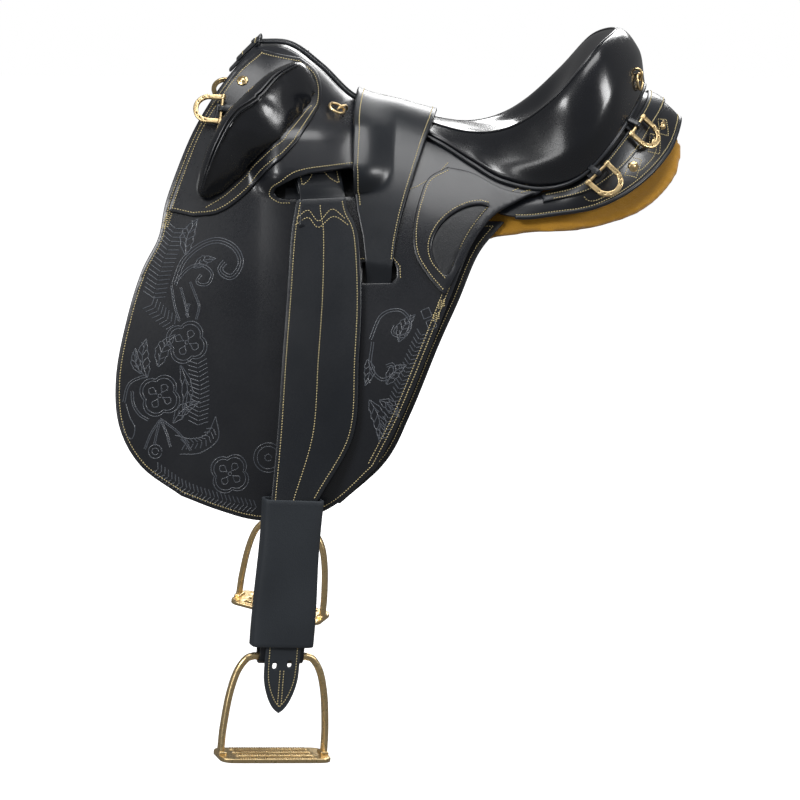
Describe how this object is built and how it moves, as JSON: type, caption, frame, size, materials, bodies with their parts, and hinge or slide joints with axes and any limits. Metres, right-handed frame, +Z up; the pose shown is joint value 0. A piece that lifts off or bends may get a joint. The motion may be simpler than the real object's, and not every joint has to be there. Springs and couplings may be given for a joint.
{
  "type": "stock saddle",
  "caption": "Deep-seated stock saddle with knee pads, overgirth, tooled flaps, stirrup fenders, hanging stirrup irons and dees.",
  "frame": {"origin": "on the centre plane, on the line of the horse's spine, in the channel between the panels", "axes": "+Z up, +X to the rear of the saddle, +Y to the horse's off (right) side"},
  "size_m": [0.6686, 0.6978, 0.8345],
  "materials": {
    "saddle_leather": "glossy black, tooled and stitched in cream thread",
    "strap_leather": "glossy black strap leather with bevelled edges",
    "sleeve_leather": "matte blue-grey",
    "panel_suede": "mustard yellow felted suede",
    "brass": "polished",
    "bar_steel": "brushed",
    "tree_wood": "planed, unpainted",
    "seat_foam": "felted padding"
  },
  "bodies": {
    "saddle": {"tree_fork": "tree_wood", "tree_bar_left": "tree_wood", "tree_bar_right": "tree_wood", "cantle_board": "tree_wood", "stirrup_bar_left": "bar_steel", "stirrup_bar_right": "bar_steel", "bar_rivets": "bar_steel", "panel_left": "panel_suede", "panel_right": "panel_suede", "seat_foam": "seat_foam", "seat_cover": "saddle_leather", "seat_welt": "saddle_leather", "pommel_strip": "saddle_leather", "pommel_tabs": "strap_leather", "rear_skirt": "saddle_leather", "cantle_strap": "strap_leather", "sweat_flap_left": "saddle_leather", "sweat_flap_right": "saddle_leather", "flap_left": "saddle_leather", "flap_right": "saddle_leather", "skirt_left": "saddle_leather", "skirt_right": "saddle_leather", "knee_facing_left": "saddle_leather", "knee_facing_right": "saddle_leather", "knee_pad_left": "saddle_leather", "knee_pad_right": "saddle_leather", "overgirth": "strap_leather", "girth_billets_left": "strap_leather", "girth_billets_right": "strap_leather", "dee_chapes_left": "strap_leather", "dee_chapes_right": "strap_leather", "ring_staples": "brass", "rosettes": "brass"},
    "loop_left": {"leather_loop_left": "strap_leather"},
    "fender_left": {"fender_left": "saddle_leather", "stirrup_leather_left": "strap_leather", "buckle_plate_left": "bar_steel", "leather_sleeve_left": "sleeve_leather", "strap_tip_left": "sleeve_leather"},
    "iron_left": {"stirrup_iron_left": "brass"},
    "front_dee_left": {"front_dee_left": "brass"},
    "side_dee_left": {"side_dee_left": "brass"},
    "cantle_dee_left": {"cantle_dee_left": "brass"},
    "pommel_ring_left": {"pommel_ring_left": "brass"},
    "cantle_ring_left": {"cantle_ring_left": "brass"},
    "loop_right": {"leather_loop_right": "strap_leather"},
    "fender_right": {"fender_right": "saddle_leather", "stirrup_leather_right": "strap_leather", "buckle_plate_right": "bar_steel", "leather_sleeve_right": "sleeve_leather", "strap_tip_right": "sleeve_leather"},
    "iron_right": {"stirrup_iron_right": "brass"},
    "front_dee_right": {"front_dee_right": "brass"},
    "side_dee_right": {"side_dee_right": "brass"},
    "cantle_dee_right": {"cantle_dee_right": "brass"},
    "pommel_ring_right": {"pommel_ring_right": "brass"},
    "cantle_ring_right": {"cantle_ring_right": "brass"}
  },
  "joints": [
    {"name": "swing_left", "type": "hinge", "parent": "saddle", "child": "loop_left", "pos_m": [-0.08789, -0.11588, 0.0716], "axis": [0, 0.9023, -0.4311], "range_deg": [-7, 3]},
    {"name": "lift_left", "type": "hinge", "parent": "loop_left", "child": "fender_left", "pos_m": [-0.0878, -0.15623, 0.02332], "axis": [-0.9678, -0.2507, -0.0219], "range_deg": [0, 75]},
    {"name": "iron_tilt_left", "type": "hinge", "parent": "fender_left", "child": "iron_left", "pos_m": [-0.13, -0.296, -0.497], "axis": [-0.9345, -0.3401, 0.1045], "range_deg": [-55, 55]},
    {"name": "front_dee_swing_left", "type": "hinge", "parent": "saddle", "child": "front_dee_left", "pos_m": [-0.20813, -0.11152, 0.12211], "axis": [0.0815, 0.5615, 0.8234], "range_deg": [0, 75]},
    {"name": "side_dee_swing_left", "type": "hinge", "parent": "saddle", "child": "side_dee_left", "pos_m": [0.23776, -0.14202, 0.05221], "axis": [-0.6862, -0.3253, -0.6506], "range_deg": [0, 95]},
    {"name": "cantle_dee_swing_left", "type": "hinge", "parent": "saddle", "child": "cantle_dee_left", "pos_m": [0.28521, -0.0994, 0.10344], "axis": [-0.4533, -0.7138, -0.5338], "range_deg": [0, 95]},
    {"name": "pommel_ring_swing_left", "type": "hinge", "parent": "saddle", "child": "pommel_ring_left", "pos_m": [-0.06634, -0.0662, 0.119], "axis": [-0.5381, 0.6278, 0.5625], "range_deg": [0, 105]},
    {"name": "cantle_ring_swing_left", "type": "hinge", "parent": "saddle", "child": "cantle_ring_left", "pos_m": [0.28794, -0.05605, 0.16031], "axis": [-0.3162, -0.9449, -0.0847], "range_deg": [0, 105]},
    {"name": "swing_right", "type": "hinge", "parent": "saddle", "child": "loop_right", "pos_m": [-0.08789, 0.11588, 0.0716], "axis": [0, 0.9023, 0.4311], "range_deg": [-10, 0]},
    {"name": "lift_right", "type": "hinge", "parent": "loop_right", "child": "fender_right", "pos_m": [-0.091, 0.15619, 0.02339], "axis": [0.9732, -0.2288, -0.024], "range_deg": [0, 75]},
    {"name": "iron_tilt_right", "type": "hinge", "parent": "fender_right", "child": "iron_right", "pos_m": [-0.16086, 0.2947, -0.49428], "axis": [0.936, -0.319, -0.1487], "range_deg": [-55, 55]},
    {"name": "front_dee_swing_right", "type": "hinge", "parent": "saddle", "child": "front_dee_right", "pos_m": [-0.20813, 0.11152, 0.12211], "axis": [-0.0815, 0.5615, -0.8234], "range_deg": [0, 75]},
    {"name": "side_dee_swing_right", "type": "hinge", "parent": "saddle", "child": "side_dee_right", "pos_m": [0.23776, 0.14202, 0.05221], "axis": [0.6862, -0.3253, 0.6506], "range_deg": [0, 95]},
    {"name": "cantle_dee_swing_right", "type": "hinge", "parent": "saddle", "child": "cantle_dee_right", "pos_m": [0.28521, 0.0994, 0.10344], "axis": [0.4533, -0.7138, 0.5338], "range_deg": [0, 95]},
    {"name": "pommel_ring_swing_right", "type": "hinge", "parent": "saddle", "child": "pommel_ring_right", "pos_m": [-0.06634, 0.0662, 0.119], "axis": [0.5381, 0.6278, -0.5625], "range_deg": [0, 105]},
    {"name": "cantle_ring_swing_right", "type": "hinge", "parent": "saddle", "child": "cantle_ring_right", "pos_m": [0.28794, 0.05605, 0.16031], "axis": [0.3162, -0.9449, 0.0847], "range_deg": [0, 105]}
  ]
}
